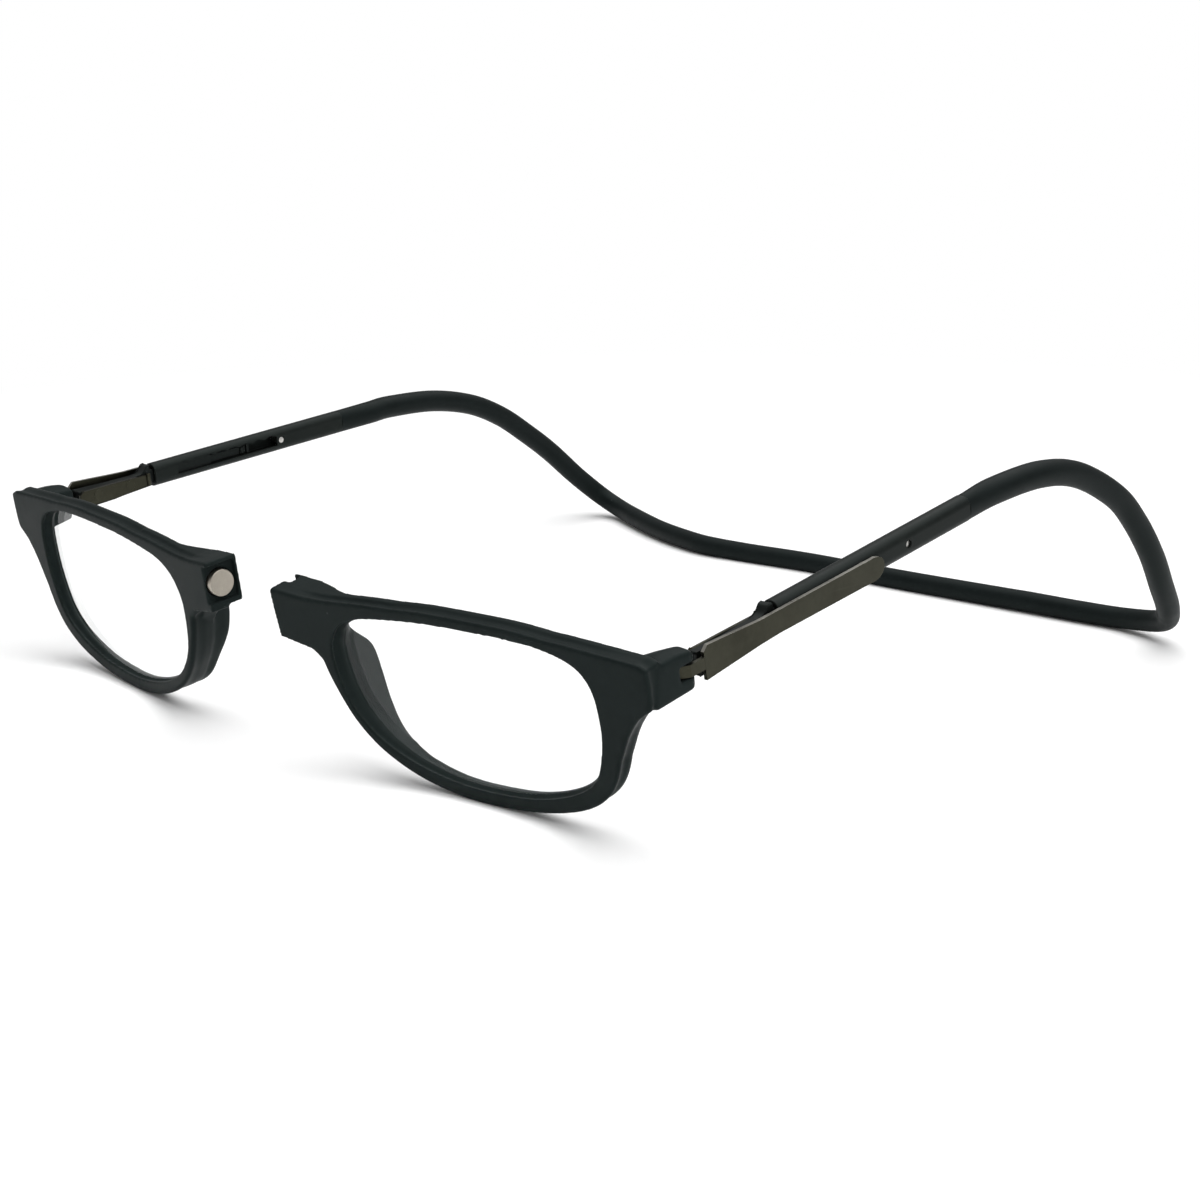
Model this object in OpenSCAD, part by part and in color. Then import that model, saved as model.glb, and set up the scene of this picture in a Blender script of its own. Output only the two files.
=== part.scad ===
// Front-clasp reading glasses: two half fronts that meet at the bridge, sliding arms, one-piece neck band.
// Millimetres, Z up, the front faces -Y, "right" is the half at +X. Glasses rest on both rims and the band.

/* [Lens opening] */
// Width of the opening in the rim
opening_w = 50.7; // [49:0.1:52]
// Height of the opening in the rim
opening_h = 26.6; // [25.6:0.2:27.4]
// Lens thickness
lens_t = 1.4; // [1.2:0.1:1.5]
// Radius of the lens' front surface
lens_radius = 300; // [280:10:400]

/* [Front] */
// Depth of the rim, front to back
rim_depth = 3.4; // [3.2:0.1:3.8]
// Reach of the nose-pad wing behind the front face
wing_depth = 8.8; // [7:0.2:9.4]
// Depth of the bridge block
bridge_depth = 5.8; // [5.4:0.1:6.4]
// Half of the distance between the two fronts' origins, as laid down open
front_x = 6.53; // [6.4:0.01:6.7]
// Forward lean of each front
front_lean = 10.7; // [10:0.1:11]
// Sweep of each front, its outer end set back
front_toe = 6.9; // [6.5:0.1:7.2]

/* [Clasp] */
// Diameter of the left magnet, the right one is smaller
magnet_d = 4.4; // [4:0.1:4.5]
// Magnet thickness
magnet_t = 2; // [1.6:0.1:2.4]
// How far the left magnet stands in its recess
recess_d = 1; // [0.8:0.1:1.2]
// Turn of the right half that closes the clasp
close_right = 3.05; // [3:0.05:3.1]
// Turn of the left half that closes the clasp
close_left = 3.25; // [3.2:0.05:3.3]

/* [Hinge] */
// Hinge pin diameter
pin_d = 1.3; // [1.2:0.1:1.4]
// Height of the arm's tongue in the lug's slot
tongue_h = 1.8; // [1.6:0.1:2]
// Length of the lug behind the front, along the arm
lug_rear = 16.1; // [15.6:0.1:16.2]

/* [Arm] */
// Rise of the arms towards the band
arm_pitch = 7.4; // [7:0.1:7.8]
// Sheet thickness of the outer plate
plate_t = 0.6; // [0.5:0.05:0.7]
// Length of the sleeve
sleeve_l = 44.3; // [43:0.1:46]
// Height of the sleeve
sleeve_h = 4.3; // [4.2:0.1:4.6]
// Thickness of the sleeve
sleeve_t = 3.2; // [3.1:0.1:3.4]
// How far the rail reaches into the sleeve when pushed home
rail_end = 22; // [20:0.5:24]
// Where the stop pin crosses the sleeve, from its mouth
stop_s = 29.2; // [28.6:0.2:30]

/* [Band] */
// Band diameter beside the sleeves
band_side_d = 4.4; // [4.2:0.1:4.6]
// Band diameter along the back
band_back_d = 3.9; // [3.7:0.1:4]

/* [Pose] */
// Twist of each half, the right one tipped up and the left one down
half_lift = 2.78; // [2.6:0.02:2.9]

/* [Hidden] */
// Middle of the laid-down glasses, so that the part is centred on its box
mid_x = 0.26;
mid_y = 73.78;
// Axis that both halves are twisted about
lift_y = 6;
lift_z = 31.5;
// Lets each rim rest on the floor
raise_right = -0.03;
raise_left = 0.08;
// Front origin and the rim's bottom bar
front_y = 2.2;
rim_low = 2.4;
opening_u = 11.7;
// Arm's own frame, from the sleeve's mouth
corner_u = opening_u + opening_w + 10;
arm_x = corner_u + 4.3;
mouth_y = 33.5;
mouth_z = rim_low + opening_h - 0.15;
// Hinge pin in the arm's frame
pin_x = -0.1;
pin_s = -20.3;
pin_h = -0.35;
// Running gaps
fit = 0.05;
slide_gap = 0.1;
bore_h = sleeve_h - 1.7;
bore_t = sleeve_t - 1.3;
rail_h = bore_h - 2 * slide_gap;
rail_t = bore_t - 2 * slide_gap;
plate_x = sleeve_t / 2 + slide_gap;
// Lens groove in the rim
groove_d = 0.5;
lens_back = 0.45;
lens_u = opening_u + opening_w / 2;
lens_w = rim_low + opening_h / 2;
// Flexing places of the band
flex_right = [40, 147.6, 2];
flex_left = [-40, 139.2, 2];

// [node to draw, all draws every one]

black = [0.10, 0.11, 0.12];
rubber = [0.05, 0.05, 0.05];
bronze = [0.26, 0.25, 0.20];
silver = [0.70, 0.68, 0.66];
clear = [0.80, 0.88, 0.92, 0.4];

// Opening of the rim as hundredths of its width and height, the bar's width, the wing's share of its depth,
// and how far out the inner wall ends at the back
rim_points = [
    [12, 92, 2.25, 0, 0.25],
    [4.5, 84.5, 2.45, 0.08, 0.35],
    [0.6, 73, 2.7, 0.45, 0.9],
    [0, 60, 2.6, 0.88, -0.8],
    [2, 41, 1.7, 0.85, -1.1],
    [7, 26, 1.75, 0.62, -0.6],
    [15, 14, 2, 0.4, 0.7],
    [27, 5, 2.3, 0.1, 0.4],
    [42, 0, 2.4, 0, 0.25],
    [57, 0, 2.4, 0, 0.25],
    [72, 3.5, 2.45, 0, 0.25],
    [86, 12.5, 2.8, 0, 0.25],
    [94.5, 24.5, 3.05, 0, 0.25],
    [98.5, 42, 3.4, 0, 0.25],
    [100, 61, 3.5, 0, 0.25],
    [99, 80.5, 3.4, 0, 0.25],
    [94, 92.5, 2.7, 0, 0.25],
    [83, 98.5, 1.8, 0, 0.25],
    [70, 100, 1.8, 0, 0.25],
    [55, 99.8, 1.8, 0, 0.25],
    [39.5, 98.8, 1.9, 0, 0.25],
    [23.5, 95.8, 2, 0, 0.25]];

// Band routes from the sleeve's end to the flexing place, then along the back, with each diameter
route_right = [
    [77.2, 96.4, 40.2, 4.4],
    [77.5, 106.3, 38.5, 4.3],
    [78, 116.4, 33.4, 4.2],
    [78, 122.6, 28, 4.2],
    [77.5, 128.7, 21.3, 4.2],
    [76, 134.6, 14.6, 4.2],
    [73.5, 141.2, 8.4, 4.1],
    [69, 147, 4.2, 4],
    [60, 149.4, 2.3, 3.9],
    [50, 148.6, 2, 3.9]];
route_left = [
    [-76.9, 91.1, 32.2, 4.4],
    [-77.2, 102.5, 31.7, 4.3],
    [-77.4, 112.9, 29.5, 4.2],
    [-77.5, 121.3, 25.8, 4.2],
    [-77.5, 128.6, 21, 4.2],
    [-77.5, 135.5, 15.9, 4.2],
    [-77, 142.4, 9.8, 4.1],
    [-75, 147.8, 4.8, 4],
    [-69.5, 148.6, 2.4, 3.9],
    [-60, 145, 2.1, 3.9],
    [-50, 141.5, 2, 3.9]];
route_back = [
    [33.6, 147, 1.9, 3.9],
    [12, 144.8, 1.7, 3.9],
    [-9, 143, 1.7, 3.9],
    [-24, 140.4, 1.7, 3.9],
    [-33.6, 138.8, 1.9, 3.9]];

// Curve through points, of any number of values each
function through(a, b, c, d, t) =
    0.5 * (2 * b + (c - a) * t + (2 * a - 5 * b + 4 * c - d) * t * t + (3 * b - a - 3 * c + d) * t * t * t);
function closed_curve(p, k) = let (n = len(p))
    [for (i = [0:n - 1]) for (j = [0:k - 1])
        through(p[(i + n - 1) % n], p[i], p[(i + 1) % n], p[(i + 2) % n], j / k)];
function open_curve(p, k) =
    [for (i = [1:len(p) - 3]) for (j = [0:i == len(p) - 3 ? k : k - 1])
        through(p[i - 1], p[i], p[i + 1], p[i + 2], j / k)];
function unit(v) = v / norm(v);

// Turns about X and Z that carry a point of one half to its place on the floor
function turn_x(p, a) = [p[0], p[1] * cos(a) - p[2] * sin(a), p[1] * sin(a) + p[2] * cos(a)];
function lifted(p, a, r) = turn_x(p - [0, lift_y, lift_z], a) + [0, lift_y, lift_z + r];
function arm_point(s) = turn_x([0, s, 0], arm_pitch) + [arm_x, mouth_y, mouth_z];

// Rim stations with the opening's points in millimetres, and the outward direction
rim_curve = [for (q = closed_curve(rim_points, 4))
    [opening_u + q[0] * opening_w / 100, rim_low + q[1] * opening_h / 100, q[2], max(0, q[3]), q[4]]];
function rim_out(i) = let (n = len(rim_curve))
    let (t = rim_curve[(i + 1) % n] - rim_curve[(i + n - 1) % n]) unit([t[1], -t[0]]);
function lens_front(u, w) = let (r = norm([u - lens_u, w - lens_w]))
    lens_back + lens_radius - sqrt(lens_radius * lens_radius - r * r);
// Cross-section of the rim at one station: distance from the opening, depth
wing_t = 1.2;
function rim_section(q) =
    let (b = q[2], k = q[3], c = q[4], e = 0.45 + 0.35 * k, d = rim_depth + k * (wing_depth - rim_depth))
    let (g = lens_front(q[0], q[1]), m = k > 0.3 ? 1 : k / 0.3, f = (1 - m) * b + m * (c + wing_t))
    [[0.2, 0], [b - e, 0], [b - 0.3 * e, 0.3 * e], [b, e], [f, d - 0.4], [f - 0.35, d], [c, d],
    [0, max(rim_depth - 0.2, g + lens_t + 2 * fit)], [0, g + lens_t + fit], [groove_d, g + lens_t + fit],
    [groove_d, g - fit], [0, g - fit], [0, 0.2]];

module loft(rings, closed) {
    n = len(rings);
    m = len(rings[0]);
    last = closed ? n - 1 : n - 2;
    sides = [for (i = [0:last]) for (j = [0:m - 1])
        [i * m + j, ((i + 1) % n) * m + j, ((i + 1) % n) * m + (j + 1) % m, i * m + (j + 1) % m]];
    ends = closed ? [] : [[for (j = [0:m - 1]) j], [for (j = [m - 1:-1:0]) (n - 1) * m + j]];
    polyhedron([for (r = rings) for (p = r) p], concat(sides, ends), convexity = 8);
}

module rim() {
    rings = [for (i = [0:len(rim_curve) - 1]) let (q = rim_curve[i], o = rim_out(i))
        [for (s = rim_section(q)) [q[0] + o[0] * s[0], s[1], q[1] + o[1] * s[0]]]];
    loft(rings, true);
}

// Frames of one half before its twist, and the twist
module front_frame() translate([front_x, front_y, 0]) rotate([front_lean, 0, front_toe]) children();
module arm_frame() translate([arm_x, mouth_y, mouth_z]) rotate([arm_pitch, 0, 0]) children();
module lay(a, r) translate([0, lift_y, lift_z + r]) rotate([a, 0, 0]) translate([0, -lift_y, -lift_z]) children();
module right_half() lay(half_lift, raise_right) children();
module left_half() lay(-half_lift, raise_left) mirror([1, 0, 0]) children();
module centred() translate([-mid_x, -mid_y, 0]) children();
// Places of the closed clasp, turned open with their half
module from_closed(pivot, a) translate(pivot) rotate([0, 0, a]) translate(-pivot) children();
module along_x(h, d) rotate([0, 90, 0]) cylinder(h = h, d = d, center = true, $fn = 48);

// Solid in the front's plane, thickness along its depth
module front_slab(d, p) rotate([90, 0, 0]) mirror([0, 0, 1]) linear_extrude(d) polygon(p);

bridge_top = rim_low + opening_h + 0.2;
bridge_outline = [[-3, bridge_top + 0.4], [3, bridge_top + 0.2], [8, bridge_top - 0.1], [13, bridge_top - 0.1],
    [17.6, bridge_top + 0.1], [17.6, bridge_top - 0.9], [13.4, bridge_top - 3.3], [11.2, bridge_top - 6.8],
    [10.9, bridge_top - 9.6], [9, bridge_top - 10.6], [7, bridge_top - 9.2], [5, bridge_top - 8.2],
    [3, bridge_top - 7.7], [-3, bridge_top - 7.5]];
bridge_plan = [[-4, 0], [18, 0], [18, rim_depth - 0.2], [15, rim_depth + 0.2], [11, bridge_depth - 1.2],
    [8, bridge_depth - 0.3], [6, bridge_depth], [-4, bridge_depth]];

module bridge_block() intersection() {
    front_slab(bridge_depth + 1, bridge_outline);
    linear_extrude(bridge_top + 5) polygon(bridge_plan);
}

corner_w = bridge_top + 0.1;
module endpiece() {
    front_slab(rim_depth, [[corner_u - 17, corner_w + 0.95], [corner_u - 12, corner_w + 0.85],
        [corner_u - 8, corner_w + 0.6], [corner_u, corner_w], [corner_u, corner_w - 6.2],
        [corner_u - 2, corner_w - 7.9], [corner_u - 3.7, corner_w - 9.4], [corner_u - 5.4, corner_w - 12.1],
        [corner_u - 6.8, corner_w - 15], [corner_u - 8, corner_w - 17.6], [corner_u - 9.2, corner_w - 19.6],
        [corner_u - 9.3, corner_w - 17], [corner_u - 8.9, corner_w - 12], [corner_u - 8.4, corner_w - 4.6],
        [corner_u - 9.2, corner_w - 2.9], [corner_u - 11, corner_w - 0.9], [corner_u - 13, corner_w + 0.2],
        [corner_u - 17, corner_w + 0.6]]);
}

lug_x = arm_x + 2.2;
module lug() hull() {
    front_frame() front_slab(rim_depth, [[corner_u - 6, corner_w + 0.3], [corner_u, corner_w],
        [corner_u, corner_w - 6.2], [corner_u - 2, corner_w - 7.9], [corner_u - 6, corner_w - 7.9]]);
    for (x = [lug_x - 4, lug_x - 1]) translate([x, lug_rear - 1, 22.4]) cylinder(h = 6.5, r = 1, $fn = 32);
}

module hinge_slot() {
    h = tongue_h + 0.4;
    translate([pin_x, pin_s, pin_h - h / 2]) cylinder(h = h, r = 1.8, $fn = 48);
    translate([pin_x, pin_s - 0.8, pin_h - h / 2]) cube([6, 9, h]);
}

module front_half() difference() {
    union() {
        front_frame() {
            rim();
            bridge_block();
            endpiece();
        }
        lug();
        arm_frame() translate([pin_x, pin_s, pin_h + 1]) cylinder(h = 2.5, r = 2.1, $fn = 48);
    }
    arm_frame() {
        hinge_slot();
        translate([pin_x, pin_s, pin_h - 6]) cylinder(h = 8.6, d = pin_d + 0.06, $fn = 48);
    }
}

// Magnets lie on the clasp's middle line, in the closed place of each half
magnet_w = bridge_top - 4;
magnet_n = 4.4;
mate_d = magnet_d - 0.6;
function magnet_mean() = let (p = turn_x([0, magnet_n, magnet_w], front_lean)) [0, p[1] + front_y, p[2]];
function magnet_at(a, r) = lifted(magnet_mean(), a, r) + [0, 0.4, 0];
mag_r = magnet_at(half_lift, raise_right);
mag_l = magnet_at(-half_lift, raise_left);
face = 0.05;
// Blocks larger than what they cut, the right half's rear rebate and the left half's recess
past_x = 20;
past_y = 40;
past_z = 50;
rebate_w = 6.4;
rebate_d = 2.1;
rebate_h = 6;
recess_h = 6.1;

module front_right() color(black) difference() {
    right_half() front_half();
    from_closed(flex_right, close_right) {
        translate([face - past_x, -past_y / 2, 0]) cube([past_x, past_y, past_z]);
        translate([face, mag_r[1], mag_r[2]]) along_x(2 * (magnet_t + 0.1), mate_d + 0.1);
    }
    right_half() front_frame() translate([-4, 3.1, bridge_top - 1]) cube([rebate_w, rebate_d, rebate_h]);
}

module front_left() color(black) difference() {
    left_half() front_half();
    from_closed(flex_left, -close_left) {
        translate([-face, -past_y / 2, 0]) cube([past_x, past_y, past_z]);
        translate([-face, mag_l[1], mag_l[2]]) along_x(2 * (magnet_t + 0.2), magnet_d + 0.1);
    }
    intersection() {
        from_closed(flex_left, -close_left)
            translate([-face - recess_d, -past_y / 2, 0]) cube([past_x, past_y, past_z]);
        left_half() front_frame() translate([-6, -1, bridge_top - 6.6])
            cube([14, bridge_depth + 0.5, recess_h]);
    }
}

module magnet_right() color(silver) from_closed(flex_right, close_right)
    translate([face + magnet_t / 2, mag_r[1], mag_r[2]]) along_x(magnet_t, mate_d);
module magnet_left() color(silver) from_closed(flex_left, -close_left)
    translate([-face - 0.1 - magnet_t / 2, mag_l[1], mag_l[2]]) along_x(magnet_t, magnet_d);

module lens() color(clear) front_frame() intersection() {
    front_slab(rim_depth + 1, [for (i = [0:len(rim_curve) - 1]) let (q = rim_curve[i], o = rim_out(i))
        [q[0], q[1]] + (groove_d - fit) * o]);
    translate([lens_u, lens_back + lens_radius, lens_w]) difference() {
        sphere(r = lens_radius, $fn = 400);
        sphere(r = lens_radius - lens_t, $fn = 400);
    }
}

module hinge_pin() color(silver) arm_frame()
    translate([pin_x, pin_s, pin_h - 3]) cylinder(h = 5.5, d = pin_d, $fn = 48);

// Side view of an arm piece, thickness along X from x
module arm_slab(x, t, p) translate([x, 0, 0]) rotate([90, 0, 90]) linear_extrude(t) polygon(p);

module outer_plate() color(bronze) arm_frame() {
    arm_slab(plate_x, plate_t, [[-16.4, -2.9], [-9.6, -2.45], [-1, -2], [10, -2.2], [20.5, -2.3], [21.7, -1.9],
        [22.4, -1], [22.5, -0.1], [22, 0.8], [20.9, 1.3], [-4.8, 1.4], [-15.6, 2.1], [-16.4, 1.4]]);
    difference() {
        union() {
            translate([0, 0, pin_h - tongue_h / 2]) linear_extrude(tongue_h) polygon([[plate_x, -16],
                [plate_x, -18.2], [0.9, pin_s + 0.9], [0.7, pin_s - 0.9], [plate_x + plate_t, -19.2],
                [plate_x + plate_t, -16]]);
            translate([pin_x, pin_s, pin_h - tongue_h / 2]) cylinder(h = tongue_h, r = 1.45, $fn = 48);
        }
        translate([pin_x, pin_s, pin_h - 3]) cylinder(h = 6, d = pin_d + 2 * fit, $fn = 48);
    }
}

// Rib of the click spring, ahead of the rail's end
spring_x = -0.6;
rib_back = 1.7;
rib_r = 0.5;

module arm_rail() color(black) arm_frame() difference() {
    union() {
        arm_slab(-0.9, 1.8, [[-16.2, 0.9], [-16.2, -2.6], [-9, -2.3], [-0.6, -1.7], [-0.6, sleeve_h / 2 - 0.1],
            [-0.9, sleeve_h / 2 + 0.1], [-1.5, sleeve_h / 2], [-1.9, 1.6], [-2.5, 1], [-4, 0.65]]);
        arm_slab(0.5, plate_x - 0.5, [[-15.6, 0.6], [-15.6, -2.4], [-9, -2.1], [-0.6, -1.6], [-0.6, 0.4]]);
        translate([-rail_t / 2, -1, -rail_h / 2]) cube([rail_t, rail_end + 1, rail_h]);
    }
    translate([-3, rail_end - 9, -0.9]) cube([2.65, 8.4, 1.8]);
    translate([spring_x, rail_end - rib_back, -0.9]) cylinder(h = 1.8, r = rib_r + 0.1, $fn = 32);
    for (s = [-12.5, -5.5]) translate([0, s, -0.5]) along_x(8, 1.25);
}

module inner_plate() color(bronze) arm_frame() difference() {
    union() {
        arm_slab(-1.45, 0.55, [[-16.2, 0.2], [-15.4, 0.8], [-9, 0.7], [-1.2, 0.6], [-1.2, -1.4], [-9, -2],
            [-15, -2.2], [-16.2, -1.4]]);
        translate([-1.4, -1.5, -1.4]) cylinder(h = 2.2, r = 0.45, $fn = 32);
    }
    for (s = [-12.5, -5.5]) translate([0, s, -0.5]) along_x(8, 1.25);
    translate([-0.9, -4, -3]) cube([2, 6, 6]);
}

module rivets() color(silver) arm_frame() for (s = [-12.5, -5.5]) {
    translate([-1.45, s, -0.5]) rotate([0, 90, 0]) cylinder(h = plate_x + 1.45, d = 1.2, $fn = 32);
    translate([-1.6, s, -0.5]) rotate([0, 90, 0]) cylinder(h = 0.15, d = 1.9, $fn = 32);
}

module click_spring() color(silver) arm_frame() {
    translate([-0.65, rail_end - 8.9, -0.7]) cube([0.3, 8.1, 1.4]);
    translate([spring_x, rail_end - rib_back, -0.6]) cylinder(h = 1.2, r = rib_r, $fn = 32);
}

// Zigzag window in the sleeve's inner side
teeth = 8;
module window() {
    a = 5;
    b = stop_s - 1;
    top = [for (i = [0:teeth]) for (j = [0:1]) if (i < teeth || j == 0)
        [a + (b - a) * (i + j / 2) / teeth, j == 0 ? 0.9 : 1.3]];
    arm_slab(-sleeve_t / 2 - 1, sleeve_t / 2 + 0.2,
        concat([[a, -0.9], [b, -0.9]], [for (i = [len(top) - 1:-1:0]) top[i]]));
}

module rounded_bar(w, h, r, l) rotate([-90, 0, 0]) linear_extrude(l) {
    square([w - 2 * r, h], center = true);
    square([w, h - 2 * r], center = true);
    for (x = [-1, 1], y = [-1, 1]) translate([x * (w / 2 - r), y * (h / 2 - r)]) circle(r = r, $fn = 32);
}

module sleeve() color(rubber) arm_frame() difference() {
    rounded_bar(sleeve_t, sleeve_h, 1.1, sleeve_l);
    translate([-bore_t / 2, -1, -bore_h / 2]) cube([bore_t, sleeve_l + 2, bore_h]);
    window();
    translate([0, stop_s, 0]) along_x(8, 1.24);
}

module stop_pin() color(silver) arm_frame()
    translate([-sleeve_t / 2, stop_s, 0]) rotate([0, 90, 0]) cylinder(h = sleeve_t - 0.3, d = 1.2, $fn = 32);

// Tube rings square to a route with no vertical stretch
sides_n = 16;
function ring(p, t) =
    let (side = unit(cross(t, [0, 0, 1])), up = cross(side, t))
    [for (j = [0:sides_n - 1]) let (a = -360 * (j + 0.5) / sides_n)
        [p[0], p[1], p[2]] + p[3] / 2 * (cos(a) * side + sin(a) * up)];
function xyz(p) = [p[0], p[1], p[2]];
module tube(route, k) {
    c = open_curve(route, k);
    n = len(c);
    loft([for (i = [0:n - 1])
        let (t = i == 0 ? route[2] - route[0] : i == n - 1 ? route[len(route) - 1] - route[len(route) - 3]
            : c[i + 1] - c[i - 1])
        ring(c[i], unit(xyz(t)))], false);
}
function flip(p) = [-p[0], p[1], p[2]];
function put(p, d) = [p[0], p[1], p[2], d];
function sleeve_end_right(s) = put(lifted(arm_point(s), half_lift, raise_right), band_side_d);
function sleeve_end_left(s) = put(flip(lifted(arm_point(s), -half_lift, raise_left)), band_side_d);

module band_side(route, pivot, next, a, b, c) {
    tube(concat([a, b, c], route, [put(pivot, band_back_d - 0.1), put(next, band_back_d - 0.1)]), 4);
    translate(pivot) sphere(d = band_back_d, $fn = 64);
}

module band_spigot() arm_frame() translate([0, sleeve_l - 4, 0]) rotate([-90, 0, 0])
    cylinder(h = 4.2, d = bore_t - 2 * fit, $fn = 32);

module band_right() color(rubber) {
    band_side(route_right, flex_right, xyz(route_back[0]), sleeve_end_right(sleeve_l - 8),
        sleeve_end_right(sleeve_l), sleeve_end_right(sleeve_l + 8));
    right_half() band_spigot();
}
module band_left() color(rubber) {
    band_side(route_left, flex_left, xyz(route_back[4]), sleeve_end_left(sleeve_l - 8),
        sleeve_end_left(sleeve_l), sleeve_end_left(sleeve_l + 8));
    left_half() band_spigot();
}

// The back stops a little short of each flexing place and is cupped round its ball
function toward(p, q, d) = p + d * unit(q - p);
start_back = toward(flex_right, xyz(route_back[0]), 0.4);
end_back = toward(flex_left, xyz(route_back[4]), 0.4);
module band_back() color(rubber) difference() {
    tube(concat([put(flex_right + (flex_right - start_back) * 14, band_back_d), put(start_back, band_back_d)],
        route_back, [put(end_back, band_back_d), put(flex_left + (flex_left - end_back) * 14, band_back_d)]), 4);
    translate([-60, 100, -5]) cube([120, 80, 5]);
    translate(flex_right) sphere(d = band_back_d + 2 * fit, $fn = 64);
    translate(flex_left) sphere(d = band_back_d + 2 * fit, $fn = 64);
}

module r(n) centred() right_half() children();
module l(n) centred() left_half() children();

centred() front_right();
centred() front_left();
centred() right_half() lens();  // lens_right
centred() left_half() lens();  // lens_left
centred() magnet_right();
centred() magnet_left();
centred() right_half() hinge_pin();  // hinge_pin_right
centred() left_half() hinge_pin();  // hinge_pin_left
centred() right_half() outer_plate();  // outer_plate_right
centred() left_half() outer_plate();  // outer_plate_left
centred() right_half() arm_rail();  // arm_rail_right
centred() left_half() arm_rail();  // arm_rail_left
centred() right_half() inner_plate();  // inner_plate_right
centred() left_half() inner_plate();  // inner_plate_left
centred() right_half() rivets();  // rivets_right
centred() left_half() rivets();  // rivets_left
centred() right_half() click_spring();  // click_spring_right
centred() left_half() click_spring();  // click_spring_left
centred() right_half() sleeve();  // sleeve_right
centred() left_half() sleeve();  // sleeve_left
centred() right_half() stop_pin();  // stop_pin_right
centred() left_half() stop_pin();  // stop_pin_left
centred() band_back();
centred() band_right();
centred() band_left();
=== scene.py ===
import math
import bmesh
import bpy
from mathutils import Matrix, Vector


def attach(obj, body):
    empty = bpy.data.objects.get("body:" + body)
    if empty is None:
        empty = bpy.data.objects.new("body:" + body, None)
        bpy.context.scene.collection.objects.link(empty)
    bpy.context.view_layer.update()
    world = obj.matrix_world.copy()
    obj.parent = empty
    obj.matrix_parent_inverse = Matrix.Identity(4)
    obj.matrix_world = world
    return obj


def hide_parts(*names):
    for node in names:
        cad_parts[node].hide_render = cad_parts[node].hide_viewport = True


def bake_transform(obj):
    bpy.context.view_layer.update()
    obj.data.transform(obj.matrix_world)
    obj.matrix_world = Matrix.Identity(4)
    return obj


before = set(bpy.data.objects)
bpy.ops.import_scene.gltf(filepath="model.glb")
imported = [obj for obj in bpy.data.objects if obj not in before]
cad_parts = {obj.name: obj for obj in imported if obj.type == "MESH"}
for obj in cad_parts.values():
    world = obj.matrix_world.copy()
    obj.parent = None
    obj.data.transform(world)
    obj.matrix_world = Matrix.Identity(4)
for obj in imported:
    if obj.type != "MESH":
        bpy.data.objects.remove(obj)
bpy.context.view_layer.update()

SIDES = ("right", "left")


# Places, in millimetres until the last step to the row's metres

def move(x, y, z):
    return Matrix.Translation((x, y, z))


def turn(degrees, axis):
    return Matrix.Rotation(math.radians(degrees), 4, axis)


def twist(angle, rise):
    return move(0, 6, 31.5 + rise) @ turn(angle, "X") @ move(0, -6, -31.5)


def opened(pivot, angle):
    return move(*pivot) @ turn(angle, "Z") @ move(*[-c for c in pivot])


to_row = Matrix.Scale(0.001, 4) @ move(-0.26, -73.78, 0)
lift = {"right": 2.78, "left": -2.78}
rise = {"right": -0.03, "left": 0.08}
half = {"right": twist(lift["right"], rise["right"]),
        "left": twist(lift["left"], rise["left"]) @ Matrix.Scale(-1, 4, (1, 0, 0))}
front_place = move(6.53, 2.2, 0) @ turn(6.9, "Z") @ turn(10.7, "X")
arm_place = move(76.7, 33.5, 28.85) @ turn(7.4, "X")
flex = {"right": Vector((40, 147.6, 2)), "left": Vector((-40, 139.2, 2))}
closed_place = {"right": opened(flex["right"], 3.05), "left": opened(flex["left"], -3.25)}
magnet_mean = move(0, 2.2, 0) @ turn(10.7, "X") @ Vector((0, 4.4, 25.2))


def magnet_middle(side):
    return twist(lift[side], rise[side]) @ magnet_mean + Vector((0, 0.4, 0))


# Curves through points of any number of values

def through(a, b, c, d, t):
    return tuple(0.5 * (2 * q + (r - p) * t + (2 * p - 5 * q + 4 * r - s) * t ** 2
                        + (3 * q - p - 3 * r + s) * t ** 3) for p, q, r, s in zip(a, b, c, d))


def round_curve(points, steps):
    n = len(points)
    return [through(points[i - 1], points[i], points[(i + 1) % n], points[(i + 2) % n], j / steps)
            for i in range(n) for j in range(steps)]


def open_curve(points, steps):
    line = [through(*points[i - 1:i + 3], j / steps)
            for i in range(1, len(points) - 2) for j in range(steps)]
    return line + [tuple(points[-2])]


def smooth_step(low, high, value):
    t = min(1, max(0, (value - low) / (high - low)))
    return t * t * (3 - 2 * t)


# Mesh work

def settle_faces(bm):
    bmesh.ops.remove_doubles(bm, verts=bm.verts, dist=1e-5)
    bmesh.ops.recalc_face_normals(bm, faces=bm.faces)
    return bm


def draw_through(rings, closed=False):
    """Draws one ring of edges through every section in turn."""
    bm = bmesh.new()
    count = len(rings[0])
    verts = [bm.verts.new(p) for p in rings[0]]
    edges = [bm.edges.new((verts[i], verts[(i + 1) % count])) for i in range(count)]
    ends = [list(edges)]
    for ring in rings[1:] + (rings[:1] if closed else []):
        fresh = {v for v in bmesh.ops.extrude_edge_only(bm, edges=edges)["geom"]
                 if isinstance(v, bmesh.types.BMVert)}
        verts = [next(e.other_vert(v) for e in v.link_edges if e.other_vert(v) in fresh) for v in verts]
        for vert, point in zip(verts, ring):
            vert.co = point
        edges = [bm.edges.get((verts[i], verts[(i + 1) % count])) for i in range(count)]
    if not closed:
        for loop in (ends[0], edges):
            bmesh.ops.edgeloop_fill(bm, edges=loop)
    return settle_faces(bm)


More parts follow.
